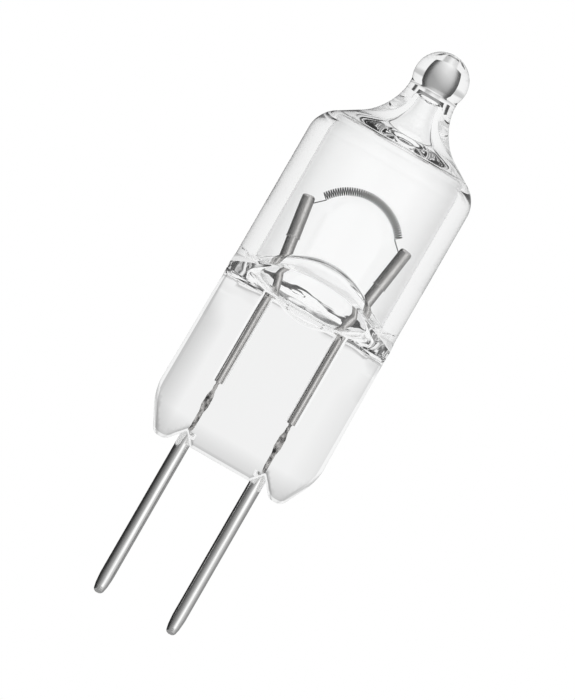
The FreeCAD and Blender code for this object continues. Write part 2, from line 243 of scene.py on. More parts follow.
def surfaceGroup():
    # streaks and spots: mixes two colours and two roughnesses, and gives a height
    group = bpy.data.node_groups.new("drawn surface", "ShaderNodeTree")
    sockets = group.interface
    for name, kind, inOut in (
        ("Place", "NodeSocketVector", "INPUT"),
        ("Bare", "NodeSocketColor", "INPUT"),
        ("Dull", "NodeSocketColor", "INPUT"),
        ("Smooth", "NodeSocketFloat", "INPUT"),
        ("Rough", "NodeSocketFloat", "INPUT"),
        ("Spots", "NodeSocketFloat", "INPUT"),
        ("Color", "NodeSocketColor", "OUTPUT"),
        ("Roughness", "NodeSocketFloat", "OUTPUT"),
        ("Height", "NodeSocketFloat", "OUTPUT"),
    ):
        sockets.new_socket(name=name, in_out=inOut, socket_type=kind)
    nodes, links = group.nodes, group.links
    given, result = nodes.new("NodeGroupInput"), nodes.new("NodeGroupOutput")
    streaks = nodes.new("ShaderNodeTexNoise")
    streaks.inputs["Scale"].default_value = 1.0
    streaks.inputs["Detail"].default_value = drawn["streakDetail"]
    links.new(given.outputs["Place"], streaks.inputs["Vector"])
    spots = nodes.new("ShaderNodeTexNoise")
    links.new(given.outputs["Place"], spots.inputs["Vector"])
    links.new(given.outputs["Spots"], spots.inputs["Scale"])
    spots.inputs["Detail"].default_value = drawn["spotDetail"]
    band = greyRamp(nodes, links, streaks.outputs[0], drawn["streakTones"])
    worn = greyRamp(nodes, links, spots.outputs[0], drawn["spotTones"])
    share = mathNode(nodes, links, "MULTIPLY", mathNode(nodes, links, "ADD", band, worn), 0.5)
    color = mixNode(nodes, links, share, given.outputs["Bare"], given.outputs["Dull"])
    links.new(color, result.inputs["Color"])
    spread = mathNode(nodes, links, "SUBTRACT", given.outputs["Rough"], given.outputs["Smooth"])
    part = mathNode(nodes, links, "MULTIPLY", spread, share)
    roughness = mathNode(nodes, links, "ADD", given.outputs["Smooth"], part)
    links.new(roughness, result.inputs["Roughness"])
    links.new(band, result.inputs["Height"])
    return group


def metal(name, finish):
    material, nodes, links, shader = newMaterial(name)
    shader.inputs["Metallic"].default_value = 1.0
    shader.inputs["Specular Tint"].default_value = (*finish["edge"], 1)
    surface = nodes.new("ShaderNodeGroup")
    surface.node_tree = drawnSurface
    links.new(placeInMillimetres(nodes, links, finish["stretch"]), surface.inputs["Place"])
    surface.inputs["Bare"].default_value = (*finish["bare"], 1)
    surface.inputs["Dull"].default_value = (*finish["dull"], 1)
    surface.inputs["Smooth"].default_value = finish["smooth"]
    surface.inputs["Rough"].default_value = finish["rough"]
    surface.inputs["Spots"].default_value = finish["spots"]
    links.new(surface.outputs["Color"], shader.inputs["Base Color"])
    links.new(surface.outputs["Roughness"], shader.inputs["Roughness"])
    bump = nodes.new("ShaderNodeBump")
    bump.inputs["Strength"].default_value = finish["bump"]
    bump.inputs["Distance"].default_value = drawn["bumpHeight"] * mm
    links.new(surface.outputs["Height"], bump.inputs["Height"])
    links.new(bump.outputs[0], shader.inputs["Normal"])
    return material


# streaks run along Z where the third stretch is small, and "edge" tints a glancing reflection
finishes = {
    "pin": {
        "bare": (0.84, 0.84, 0.835), "dull": (0.76, 0.76, 0.755), "edge": (1.0, 1.0, 1.0),
        "smooth": 0.12, "rough": 0.19, "stretch": (9, 9, 0.35), "spots": 0.35, "bump": 0.25,
    },
    "lead": {
        "bare": (0.60, 0.59, 0.58), "dull": (0.52, 0.51, 0.50), "edge": (1.0, 1.0, 1.0),
        "smooth": 0.10, "rough": 0.17, "stretch": (8, 8, 0.5), "spots": 0.4, "bump": 0.3,
    },
    "sleeve": {
        "bare": (0.62, 0.61, 0.60), "dull": (0.50, 0.49, 0.48), "edge": (1.0, 1.0, 1.0),
        "smooth": 0.17, "rough": 0.28, "stretch": (5, 5, 1.2), "spots": 0.7, "bump": 0.3,
    },
    "foil": {
        "bare": (0.50, 0.49, 0.48), "dull": (0.02, 0.02, 0.02), "edge": (1.0, 1.0, 1.0),
        "smooth": 0.22, "rough": 0.50, "stretch": (5, 5, 3), "spots": 1.0, "bump": 0.8,
    },
    # painted shade: the filament's near-black colour and dark glancing tint darken the whole coil
    "filament": {
        "bare": (0.016, 0.016, 0.017), "dull": (0.007, 0.007, 0.008), "edge": (0.05, 0.05, 0.05),
        "smooth": 0.30, "rough": 0.45, "stretch": (3, 3, 3), "spots": 1.5, "bump": 0.2,
    },
}

quartz = {
    "tint": (0.985, 0.987, 0.987),
    "index": 1.46,
    "heights": (-1, 23),    # the ends of the ramp of heights
    # where the glass was worked soft it is uneven: (height, unevenness)
    "worked": [
        (7.2, 0.03), (8.0, 1.0), (9.0, 1.0), (9.8, 0.01),
        (16.4, 0.01), (17.2, 0.03), (20.4, 0.01),
    ],
    "ripple": 0.7,          # waves per millimetre
    "rippleDetail": 1.0,
    "rippleDepth": 0.10,
    # light that is trapped after this many reflections is ended by a painted glow of the glass,
    # dark under the roof, with pale threads, and pale under the height given, with grey threads
    "trappedAfter": 4.5,
    "trappedBelow": 12.0,
    "roofGlowTones": [
        (0.0, 0.02), (0.47, 0.04), (0.53, 0.16), (0.57, 0.8), (0.60, 1.0), (0.63, 0.3), (1.0, 0.2),
    ],
    "roofScale": 0.22,
    "roofDetail": 0.5,
    "floorGlowTones": [(0.0, 0.35), (0.40, 0.75), (0.47, 1.0), (0.62, 1.0), (0.66, 0.25), (0.70, 0.9)],
    "floorScale": 0.9,
}


def quartzGlass():
    material, nodes, links, shader = newMaterial("clear quartz")
    shader.inputs["Base Color"].default_value = (*quartz["tint"], 1)
    shader.inputs["Roughness"].default_value = 0.0
    shader.inputs["IOR"].default_value = quartz["index"]
    shader.inputs["Transmission Weight"].default_value = 1.0
    place = placeInMillimetres(nodes, links, (1, 1, 1))
    split = nodes.new("ShaderNodeSeparateXYZ")
    links.new(place, split.inputs[0])
    low, high = quartz["heights"]
    above = mathNode(nodes, links, "SUBTRACT", split.outputs["Z"], low)
    rise = mathNode(nodes, links, "DIVIDE", above, high - low)
    stops = [((height - low) / (high - low), level) for height, level in quartz["worked"]]
    worked = greyRamp(nodes, links, rise, stops)
    ripple = nodes.new("ShaderNodeTexNoise")
    ripple.inputs["Scale"].default_value = quartz["ripple"]
    ripple.inputs["Detail"].default_value = quartz["rippleDetail"]
    links.new(place, ripple.inputs["Vector"])
    bump = nodes.new("ShaderNodeBump")
    bump.inputs["Strength"].default_value = 1.0
    bump.inputs["Distance"].default_value = quartz["rippleDepth"] * mm
    links.new(mathNode(nodes, links, "MULTIPLY", ripple.outputs[0], worked), bump.inputs["Height"])
    links.new(bump.outputs[0], shader.inputs["Normal"])
    # painted glow: a path trapped in the glass ends in emission, dark under the roof and pale below
    reflections = nodes.new("ShaderNodeLightPath").outputs["Glossy Depth"]
    trapped = mathNode(nodes, links, "GREATER_THAN", reflections, quartz["trappedAfter"])
    broad = nodes.new("ShaderNodeTexNoise")
    broad.inputs["Scale"].default_value = quartz["roofScale"]
    broad.inputs["Detail"].default_value = quartz["roofDetail"]
    links.new(place, broad.inputs["Vector"])
    dark = greyRamp(nodes, links, broad.outputs[0], quartz["roofGlowTones"])
    fine = nodes.new("ShaderNodeTexNoise")
    fine.inputs["Scale"].default_value = quartz["floorScale"]
    links.new(place, fine.inputs["Vector"])
    pale = greyRamp(nodes, links, fine.outputs[0], quartz["floorGlowTones"])
    under = mathNode(nodes, links, "LESS_THAN", split.outputs["Z"], quartz["trappedBelow"])
    paintedGlow = mixNode(nodes, links, trapped, (0.0, 0.0, 0.0, 1.0), mixNode(nodes, links, under, dark, pale))
    links.new(paintedGlow, shader.inputs["Emission Color"])
    shader.inputs["Emission Strength"].default_value = 1.0
    material.cycles.emission_sampling = "NONE"
    return material


# quartz envelope

glass = {
    # outside, from the blank that is pressed later
    "blankBottom": -1,
    "blankFlare": 0.7,      # extra radius low down, which the press takes off
    "barrelRadius": 4.36,
    "barrelTop": 16.14,
    "shoulderRadius": 1.425,
    "shoulderSlope": 32,
    "neckRadius": 1.25,
    "neckFlare": 2.72,
    "neckLength": 0.11,
    "tipRadius": 1.375,
    "tipFillet": 0.40,
    # sealed room
    "barrelWall": 0.86,
    "roofStart": 16.61,
    "roofRise": 0.46,
    "roofSlope": 12,
    "roofRound": 0.40,
    "funnelFlare": 2.40,
    "funnelBore": 0.55,
    "funnelBoreLength": 0.50,
    "funnelEndRound": 0.30,
    "floorHeight": 7.75,
    "wedgeRise": 2.97,
    "wedgeCurve": 1.7,
    "bowlRadius": 2.5,
    "bowlRise": 0.85,
    "rimRound": 0.25,
    "rimLift": 1.0,
    "floorRings": 56,
    # pressed faces, which the jaws leave slightly crowned
    "thickness": 2.60,
    "jawBottom": -2,
    "pressSlope": 28,
    "pressHeight": 9.83,
    "pressFillet": 0.40,
    "crownReach": 1.95,
    "crownDepth": 0.14,
    "crownMost": 0.6,
    "crownFade": 2.5,       # the sides fade out over this height at the top
    "crownHalfSpan": 4.4,
    "crownBottom": -0.15,
    "crownColumns": 56,
    "crownRows": 36,
    "sideways": 0.2,        # faces whose normal has less of Y are edge walls
    "frontal": 0.85,        # and more than this are pressed faces
    # outline of the pinch
    "outlineStart": 9.13,
    "topHalfWidth": 4.35,
    "lowHalfWidth": 4.45,
    "cornerHeight": 1.60,
    "cornerRadius": 2.60,
    "lobeDrop": 0.26,
    "lobeOuter": 3.50,
    "lobeInner": 2.86,
    "lobeRadius": 0.42,
    "notchHeight": 0.60,
    "notchShift": 0.13,
    "notchRun": 0.52,
    "edgeRound": 0.22,
    "edgeRoundTop": 8.43,
    # holes for the leads and the pins
    "channelRadius": 0.32,
    "channelLength": 5.4,
    "pinHoleRadius": 0.37,
    "pinHoleLength": 2,
    # how finely it is made: round the axis, up the ball of the tip, and in each rounded corner
    "steps": 160,
    "ballRows": 48,
    "outerSegments": 16,
    "innerSegments": 12,
    "jawSegments": 8,
    "outlineSegments": 20,
    "edgeSegments": 4,
    "sharpAngle": 30,
}


def outerBlank():
    g = glass
    half = tan((90 - g["shoulderSlope"]) / 2)
    shoulder = g["barrelTop"] + g["shoulderRadius"] * half
    neck = shoulder + (g["barrelRadius"] - g["neckRadius"]) * tan(g["shoulderSlope"])
    neckEnd = neck + g["neckFlare"] * half + g["neckLength"]
    reach = g["tipRadius"] + g["tipFillet"]
    tip = neckEnd + math.sqrt(reach ** 2 - (g["neckRadius"] + g["tipFillet"]) ** 2)
    flare = g["blankFlare"]
    body = spunSolid([
        (0, g["blankBottom"], 0),
        (g["barrelRadius"] + flare, g["blankBottom"], 0),
        (g["barrelRadius"] + flare, g["pressHeight"] - 2 * flare, 0),
        (g["barrelRadius"], g["pressHeight"] - flare, 0),
        (g["barrelRadius"], shoulder, g["shoulderRadius"]),
        (g["neckRadius"], neck, g["neckFlare"]),
        (g["neckRadius"], tip, 0),
        (0, tip, 0),
    ], g["steps"], g["outerSegments"])
    ball = bmesh.new()
    bmesh.ops.create_uvsphere(
        ball, u_segments=g["steps"], v_segments=g["ballRows"], radius=g["tipRadius"],
        matrix=Matrix.Translation((0, 0, tip)),
    )
    piece = asObject(body, "envelope")
    carve(piece, ball, "UNION")
    return piece


def pressedTop():
    # where the flat of the pressed faces ends
    g = glass
    return g["pressHeight"] - (g["barrelRadius"] - g["thickness"] / 2) * tan(g["pressSlope"])


def betweenJaws():
    # section through the pressing jaws, from the side
    g = glass
    half = g["thickness"] / 2
    far = 2 * g["barrelRadius"]
    reach = pressedTop() + (far - half) * tan(g["pressSlope"])
    right = [
        (half, g["jawBottom"], 0),
        (half, pressedTop(), g["pressFillet"]),
        (far, reach, 0),
        (far, 4 * far, 0),
    ]
    left = [(-a, b, radius) for a, b, radius in reversed(right)]
    return prism(right + left, "YZ", far, g["jawSegments"])


def crownFaces(bm):
    # the pressed faces fall off a little towards the sides and the foot
    g = glass
    half, top, reach = g["thickness"] / 2, pressedTop(), g["crownReach"]
    span = g["crownHalfSpan"]
    for way, start, end, steps in (
        (Vector((1, 0, 0)), -span, span, g["crownColumns"]),
        (Vector((0, 0, 1)), g["crownBottom"], top, g["crownRows"]),
    ):
        for i in range(steps):
            pressed = [
                face for face in bm.faces
                if abs(face.normal.y) > g["sideways"] and face.calc_center_median().z < top
            ]
            edges = {edge for face in pressed for edge in face.edges}
            verts = {vert for face in pressed for vert in face.verts}
            bmesh.ops.bisect_plane(
                bm, geom=pressed + list(edges) + list(verts), dist=weldGap,
                plane_co=way * (start + (end - start) * i / steps), plane_no=way,
            )
    for vert in bm.verts:
        x, y, z = vert.co
        if z > top or abs(y) > half + levelGap:
            continue
        side = max(abs(x) - g["topHalfWidth"] + reach, 0) / reach
        low = max(reach - z, 0) / reach
        fade = min(max((top - z) / g["crownFade"], 0), 1)
        drop = g["crownDepth"] * (side ** 2 * fade + low ** 2)
        vert.co.y *= 1 - min(drop, g["crownMost"]) / half


def pinchOutline():
    g = glass
    far = 2 * g["barrelRadius"]
    notch = pinX + g["notchShift"]
    right = [
        (far, 4 * far, 0),
        (far, g["pressHeight"], 0),
        (g["topHalfWidth"], g["outlineStart"], 0),
        (g["lowHalfWidth"], g["cornerHeight"], g["cornerRadius"]),
        (g["lobeOuter"], -g["lobeDrop"], g["lobeRadius"]),
        (g["lobeInner"], -g["lobeDrop"], g["lobeRadius"]),
        (notch, g["notchHeight"], 0),
        (notch - g["notchRun"], 0, 0),
    ]
    left = [(-a, b, radius) for a, b, radius in reversed(right)]
    return prism(right + left, "XZ", far, g["outlineSegments"])


def innerRoom():
    # the sealed space: a spun room whose floor is then pushed into shape
    g = glass
    inner = g["barrelRadius"] - g["barrelWall"]
    edge = inner - g["roofRise"]
    roof = g["roofStart"] + g["roofRise"]
    funnel = roof + (edge - g["funnelBore"]) * tan(g["roofSlope"])
    top = funnel + g["funnelFlare"] * tan((90 - g["roofSlope"]) / 2) + g["funnelBoreLength"]
    bm = spunSolid([
        (0, g["floorHeight"], 0),
        (inner, g["floorHeight"], 0),
        (inner, roof, g["roofRound"]),
        (g["funnelBore"], funnel, g["funnelFlare"]),
        (g["funnelBore"], top, g["funnelEndRound"]),
        (0, top, 0),
    ], g["steps"], g["innerSegments"])
    floor = [
        face for face in bm.faces
        if all(abs(vert.co.z - g["floorHeight"]) < levelGap for vert in face.verts)
    ]
    spokes = {edge for face in floor for edge in face.edges if edge.calc_length() > inner / 2}
    bmesh.ops.subdivide_edges(bm, edges=list(spokes), cuts=g["floorRings"])
    for vert in bm.verts:
        if abs(vert.co.z - g["floorHeight"]) > levelGap:
            continue
        reach = vert.co.xy.length / inner
        if reach > axisGap:
            vert.co.xy *= math.sin(reach * math.pi / 2) / reach
        x, y = abs(vert.co.x), abs(vert.co.y)
        across = g["wedgeRise"] * (y / inner) ** g["wedgeCurve"]
        along = (math.hypot(x, g["bowlRadius"]) - g["bowlRadius"]) * g["bowlRise"]
        rim = math.hypot(x, y)
        corner = inner - g["rimRound"]
        curl = 0.0
        if rim > corner:
            curl = g["rimRound"] - math.sqrt(max(g["rimRound"] ** 2 - (rim - corner) ** 2, 0))
        vert.co.z = g["floorHeight"] + math.hypot(across, along) + g["rimLift"] * curl
    return bm


def quartzEnvelope(material):
    g = glass
    piece = outerBlank()
    carve(piece, betweenJaws(), "INTERSECT")
    carve(piece, pinchOutline(), "INTERSECT")
    bm = bmesh.new()
    bm.from_mesh(piece.data)
    bmesh.ops.remove_doubles(bm, verts=bm.verts[:], dist=weldGap)
    bmesh.ops.recalc_face_normals(bm, faces=bm.faces[:])
    rim = []
    for edge in bm.edges:
        if len(edge.link_faces) != 2 or max(vert.co.z for vert in edge.verts) > g["edgeRoundTop"]:
            continue
        facing = sorted(abs(face.normal.y) for face in edge.link_faces)
        if facing[0] < g["sideways"] and facing[1] > g["frontal"]:
            rim.append(edge)
    bmesh.ops.bevel(
        bm, geom=rim, offset=g["edgeRound"], offset_type="OFFSET", segments=g["edgeSegments"],
        profile=0.5, affect="EDGES", material=-1,
    )
    crownFaces(bm)
    bm.to_mesh(piece.data)
    bm.free()
    carve(piece, innerRoom(), "DIFFERENCE")
    for side in sides.values():
        low = Vector((side * pinX, 0, lamp["leadStart"]))
        channel = rod(low, low + Vector((0, 0, g["channelLength"])), g["channelRadius"])
        carve(piece, channel, "DIFFERENCE")
        high = Vector((side * pinX, 0, lamp["pinGrip"]))
        pinHole = rod(high, high - Vector((0, 0, g["pinHoleLength"])), g["pinHoleRadius"])
        carve(piece, pinHole, "DIFFERENCE")
    finishPiece(piece, material, "quartz_envelope", g["sharpAngle"])


# metal pieces

pins = {
    "diameter": 0.70,
    "freeLength": 8.27,
    "noseLength": 0.90,
    "noseDiameter": 0.44,
    "noseEndRatio": 2.1,    # nose diameter over the rounding of its end
    "cheekPlace": 0.45,     # share of the nose's length
    "cheekWidth": 0.88,     # share of the pin's radius
    "cheekRound": 0.5,
    "noseRound": 1.60,
    "innerRound": 0.03,
    "steps": 64,
    "roundSegments": 12,
}


def contactPin(name, side, material):
    p = pins
    tip = -p["freeLength"]
    radius = p["diameter"] / 2
    bm = spunSolid([
        (0, tip, 0),
        (p["noseDiameter"] / 2, tip, p["noseDiameter"] / p["noseEndRatio"]),
        (p["cheekWidth"] * radius, tip + p["cheekPlace"] * p["noseLength"], p["cheekRound"]),
        (radius, tip + p["noseLength"], p["noseRound"]),
        (radius, lamp["pinGrip"], p["innerRound"]),
        (0, lamp["pinGrip"], 0),
    ], p["steps"], p["roundSegments"])
    bmesh.ops.translate(bm, verts=bm.verts[:], vec=(side * pinX, 0, 0))
    finishPiece(asObject(bm, "pin_" + name), material, "contact_pin_" + name)


def tube(points, radius, name, resolution):
    # round wire along points, as a mesh
    curve = bpy.data.curves.new(name, "CURVE")
    curve.dimensions = "3D"
    curve.bevel_depth = radius
    curve.bevel_resolution = resolution
    curve.use_fill_caps = True
    spline = curve.splines.new("POLY")
    spline.points.add(len(points) - 1)
    for place, point in zip(spline.points, points):
        place.co = (*point, 1)
    shape = bpy.data.objects.new(name, curve)
    mesh = bpy.data.meshes.new_from_object(shape)
    bpy.data.objects.remove(shape)
    bpy.data.curves.remove(curve)
    mesh.name = name
    piece = bpy.data.objects.new(name, mesh)
    bpy.context.scene.collection.objects.link(piece)
    return piece


leads = {
    "diameter": 0.60,
    "bendRadius": 0.90,
    "endHeight": 12.62,
    "bendSteps": 6,
    "resolution": 14,
}


def innerLead(name, side, material):
    radius = leads["bendRadius"]
    reach = radius * tan(lamp["leanAngle"] / 2)
    points = [Vector((side * pinX, 0, lamp["leadStart"]))]
    centre = Vector((side * (pinX + radius), 0, lamp["bendHeight"] - reach))
    for step in range(leads["bendSteps"] + 1):
        turn = math.radians(lamp["leanAngle"] * step / leads["bendSteps"])
        points.append(centre + radius * Vector((-side * math.cos(turn), 0, math.sin(turn))))
    points.append(postPoint(side, leads["endHeight"]))
    piece = tube(points, leads["diameter"] / 2, "lead_" + name, leads["resolution"])
    finishPiece(piece, material, "inner_lead_" + name)


sleeves = {
    "diameter": 0.67,
    "bottom": 11.09,
    "top": 13.26,
    "topRound": 0.16,
    "bore": 0.305,
    "cap": 0.10,
    "lip": 0.018,
    "lipHeight": 0.07,
    "lipRound": 0.02,
    "steps": 48,
    "roundSegments": 8,
}


def leadSleeve(name, side, material):
    s = sleeves
    radius = s["diameter"] / 2
    length = (s["top"] - s["bottom"]) / cos(lamp["leanAngle"])
    bm = spunSolid([
        (s["bore"], 0, 0),
        (radius + s["lip"], 0, s["lipRound"]),
        (radius + s["lip"], s["lipHeight"], s["lipRound"]),
        (radius, s["lipHeight"] + s["lip"], 0),
        (radius, length, s["topRound"]),
        (0, length, 0),
        (0, length - s["cap"], 0),
        (s["bore"], length - s["cap"], 0),
    ], s["steps"], s["roundSegments"])
    lean = Matrix.Rotation(side * math.radians(lamp["leanAngle"]), 4, "Y")
    place = Matrix.Translation(postPoint(side, s["bottom"]))
    bmesh.ops.transform(bm, verts=bm.verts[:], matrix=place @ lean)
    finishPiece(asObject(bm, "sleeve_" + name), material, "lead_sleeve_" + name)


foils = {
    "halfWidth": 0.19,
    "halfThickness": 0.030,
    "height": 2.22,
    # share of the height, share of the half width, twist
    "strip": [
        (0.0, 0.55, -52), (0.18, 0.85, -46), (0.36, 0.62, -22),
        (0.46, 0.55, 0), (0.62, 1.0, 16), (0.86, 0.95, 22),
    ],
    # the bead that joins it to the lead: share of the way, half width and half thickness
    "bead": [(0.0, 0.095, 0.045), (0.45, 0.10, 0.08), (0.75, 0.075, 0.06), (1.0, 0.11, 0.10)],
    "beadTwist": 24,
    "corners": 12,
}


def sealFoil(name, side, material):
    f = foils
    bottom, top = lamp["pinGrip"], lamp["pinGrip"] + f["height"]
    run = lamp["leadStart"] - top
    stations = [
        (bottom + share * f["height"], width * f["halfWidth"], f["halfThickness"], twist)
        for share, width, twist in f["strip"]
    ] + [
        (top + share * run, width, thickness, f["beadTwist"])
        for share, width, thickness in f["bead"]
    ]
    bm = bmesh.new()
    rings = []
    for height, width, thickness, twist in stations:
        turned = Matrix.Rotation(side * math.radians(twist), 4, "Z")
        place = Matrix.Translation((side * pinX, 0, height)) @ turned
        ring = bmesh.ops.create_circle(
            bm, segments=f["corners"], radius=1,
            matrix=place @ Matrix.Diagonal((width, thickness, 1, 1)),
        )["verts"]
        rings.append(list({edge for vert in ring for edge in vert.link_edges}))
    for low, high in zip(rings, rings[1:]):
        bmesh.ops.bridge_loops(bm, edges=low + high)
    bmesh.ops.holes_fill(bm, edges=bm.edges[:])
    bmesh.ops.recalc_face_normals(bm, faces=bm.faces[:])
    finishPiece(asObject(bm, "foil_" + name), material, "seal_foil_" + name)


filament = {
    "span": 4.07,
    "endHeight": 13.55,
    "rise": 1.08,
    "coilDiameter": 0.42,
    "wireDiameter": 0.047,
    "turns": 44,
    "pointsPerTurn": 16,
    "legHeight": 13.02,
    "legInsertion": 0.07,
    "resolution": 2,
    "sharpAngle": 60,
}


def coilPoint(share):
    f = filament
    half, rise = f["span"] / 2, f["rise"]
    arch = (half ** 2 + rise ** 2) / (2 * rise)
    along = (2 * share - 1) * math.asin(half / arch)
    turn = math.pi + 2 * math.pi * f["turns"] * share
    coil = (f["coilDiameter"] - f["wireDiameter"]) / 2
    out = arch + coil * math.cos(turn)
    return Vector((
        out * math.sin(along),
        coil * math.sin(turn),
        f["endHeight"] + rise - arch + out * math.cos(along),
    ))


def filamentCoil(material):
    f = filament
    steps = f["turns"] * f["pointsPerTurn"]
    points = [coilPoint(i / steps) for i in range(steps + 1)]
    for side, place in ((-1, 0), (1, len(points) + 1)):
        coilEnd = coilPoint(0 if side < 0 else 1)
        inward = Vector((side * sleeves["diameter"] / 2 / cos(lamp["leanAngle"]), 0, 0))
        face = postPoint(side, f["legHeight"]) - inward
        points.insert(place, face + (face - coilEnd).normalized() * f["legInsertion"])
    piece = tube(points, f["wireDiameter"] / 2, "filament", f["resolution"])
    finishPiece(piece, material, "filament_coil", f["sharpAngle"])


# studio

view = {
    "aimHeight": 6.32,     # what lies at the middle of the picture
    "aimAcross": 0.096,
    "frameHeight": 33.47,
    "roll": -30.0,
    "lens": 200,
    "sensor": 36,
    "clip": (0.01, 5),     # metres
}


def setCamera():
    data = bpy.data.cameras.new("camera")
    data.lens = view["lens"]
    data.sensor_width = view["sensor"]
    data.clip_start, data.clip_end = view["clip"]
    camera = bpy.data.objects.new("camera", data)
    distance = view["frameHeight"] * view["lens"] / view["sensor"]
    camera.location = Vector((view["aimAcross"], -distance, view["aimHeight"])) * mm
    level = Matrix.Rotation(math.radians(90), 3, "X")
    camera.rotation_euler = (Matrix.Rotation(math.radians(view["roll"]), 3, "Y") @ level).to_euler()
    bpy.context.scene.collection.objects.link(camera)
    bpy.context.scene.camera = camera


# grey levels of the studio. A ramp that goes round starts at the far side (0), passes the left,
# the near side (0.5) and the right, and ends at the far side (1).
studio = {
    # what metal reflects, round the lamp
    "around": [
        (0.0, 0.40), (0.02, 0.04), (0.20, 0.015), (0.26, 0.05), (0.34, 0.16), (0.43, 0.36),
        (0.50, 0.62), (0.55, 1.25), (0.60, 1.35), (0.65, 0.80), (0.72, 0.50), (0.80, 0.32),
        (0.965, 0.28), (1.0, 0.95),
    ],
    # how much of that is left by the steepness of the reflection
    "steepness": [(0.0, 1.0), (0.40, 1.0), (0.55, 0.0)],
    # what is seen through the hollow glass: lit panels round the lamp, times the height
    "panelCount": 8,
    "panel": [(0.0, 0.84), (0.12, 0.86), (0.42, 1.0), (0.58, 1.0), (0.80, 0.92), (1.0, 0.84)],
    # from straight below (0) to straight above (1)
    "height": [
        (0.0, 0.95), (0.05, 0.95), (0.06, 0.25), (0.075, 0.95), (0.12, 0.90), (0.135, 0.15),
        (0.15, 0.90), (0.42, 0.97), (0.48, 1.0), (0.596, 1.0), (0.600, 0.01), (0.640, 0.01),
        (0.644, 1.0), (0.70, 0.95), (0.80, 0.90), (0.83, 0.12), (0.845, 0.90), (0.90, 1.0), (1.0, 1.3),
    ],
    # what is seen through the solid glass: left to right, times downwards to upwards
    "solidAcross": [
        (0.28, 0.95), (0.32, 0.74), (0.40, 0.78), (0.475, 0.90), (0.525, 0.905), (0.60, 0.60),
        (0.69, 0.54), (0.74, 0.95),
    ],
    "solidUp": [(0.52, 1.0), (0.60, 0.68), (0.69, 0.60), (0.74, 1.0)],
    "solidWalls": (0.97, 0.97, 0.97, 1.0),   # what the solid glass reflects inside
    "background": (1.0, 1.0, 1.0, 1.0),
}


def setWorld():
    world = bpy.data.worlds.new("studio")
    world.use_nodes = True
    bpy.context.scene.world = world
    nodes, links = world.node_tree.nodes, world.node_tree.links
    direction = nodes.new("ShaderNodeTexCoord")
    split = nodes.new("ShaderNodeSeparateXYZ")
    links.new(direction.outputs["Generated"], split.inputs[0])
    path = nodes.new("ShaderNodeLightPath")
    crossings = path.outputs["Transmission Depth"]

    # round the lamp, and upwards
    near = mathNode(nodes, links, "MULTIPLY", split.outputs["Y"], -1)
    turn = mathNode(nodes, links, "ARCTAN2", split.outputs["X"], near)
    turns = mathNode(nodes, links, "DIVIDE", turn, 2 * math.pi)
    share = mathNode(nodes, links, "ADD", turns, 0.5)
    halfUp = mathNode(nodes, links, "MULTIPLY", split.outputs["Z"], 0.5)
    height = mathNode(nodes, links, "ADD", halfUp, 0.5)
    around = greyRamp(nodes, links, share, studio["around"])

    # through the hollow glass
    panels = mathNode(nodes, links, "MULTIPLY", share, studio["panelCount"])
    inPanel = mathNode(nodes, links, "FRACT", mathNode(nodes, links, "ADD", panels, 0.5))
    panel = greyRamp(nodes, links, inPanel, studio["panel"])
    rows = greyRamp(nodes, links, height, studio["height"])
    through = mixNode(nodes, links, 1.0, panel, rows, "MULTIPLY")

    # through the solid glass, which a path crosses by two surfaces
    rightward = mathNode(nodes, links, "ADD", split.outputs["X"], 0.5)
    upward = mathNode(nodes, links, "ADD", split.outputs["Z"], 0.5)
    across = greyRamp(nodes, links, rightward, studio["solidAcross"])
    up = greyRamp(nodes, links, upward, studio["solidUp"])
    straight = mixNode(nodes, links, 1.0, across, up, "MULTIPLY")
    reflected = mathNode(nodes, links, "GREATER_THAN", path.outputs["Glossy Depth"], 0.5)
    behindSolid = mixNode(nodes, links, reflected, straight, studio["solidWalls"])
    inSolid = between(nodes, links, crossings, 1.5, 2.5)
    through = mixNode(nodes, links, inSolid, through, behindSolid)

    # on metal, which a path reaches and leaves by no surface of glass, or by four
    fours = mathNode(nodes, links, "FRACT", mathNode(nodes, links, "DIVIDE", crossings, 4))
    wholeFours = mathNode(nodes, links, "LESS_THAN", fours, 0.2)
    onMetal = mathNode(nodes, links, "MULTIPLY", reflected, wholeFours)
    steepness = mathNode(nodes, links, "ABSOLUTE", split.outputs["Z"])
    level = greyRamp(nodes, links, steepness, studio["steepness"])
    outside = mathNode(nodes, links, "LESS_THAN", crossings, 0.5)
    level = mathNode(nodes, links, "MAXIMUM", level, outside)
    lit = mixNode(nodes, links, mathNode(nodes, links, "MULTIPLY", onMetal, level), through, around)
    seen = mixNode(nodes, links, path.outputs["Is Camera Ray"], lit, studio["background"])
    links.new(seen, nodes["Background"].inputs["Color"])


# a pale round floor, well below the pins
ground = {
    "radius": 70,
    "height": -45,
    "sides": 96,
    "tone": (0.9, 0.9, 0.9),
    "roughness": 0.8,
}


def setFloor():
    bm = bmesh.new()
    bmesh.ops.create_circle(
        bm, cap_ends=True, segments=ground["sides"], radius=ground["radius"],
        matrix=Matrix.Translation((0, 0, ground["height"])),
    )
    bmesh.ops.scale(bm, verts=bm.verts[:], vec=(mm, mm, mm))
    floor = asObject(bm, "floor")
    material, nodes, links, shader = newMaterial("pale floor")
    shader.inputs["Base Color"].default_value = (*ground["tone"], 1)
    shader.inputs["Roughness"].default_value = ground["roughness"]
    floor.data.materials.append(material)
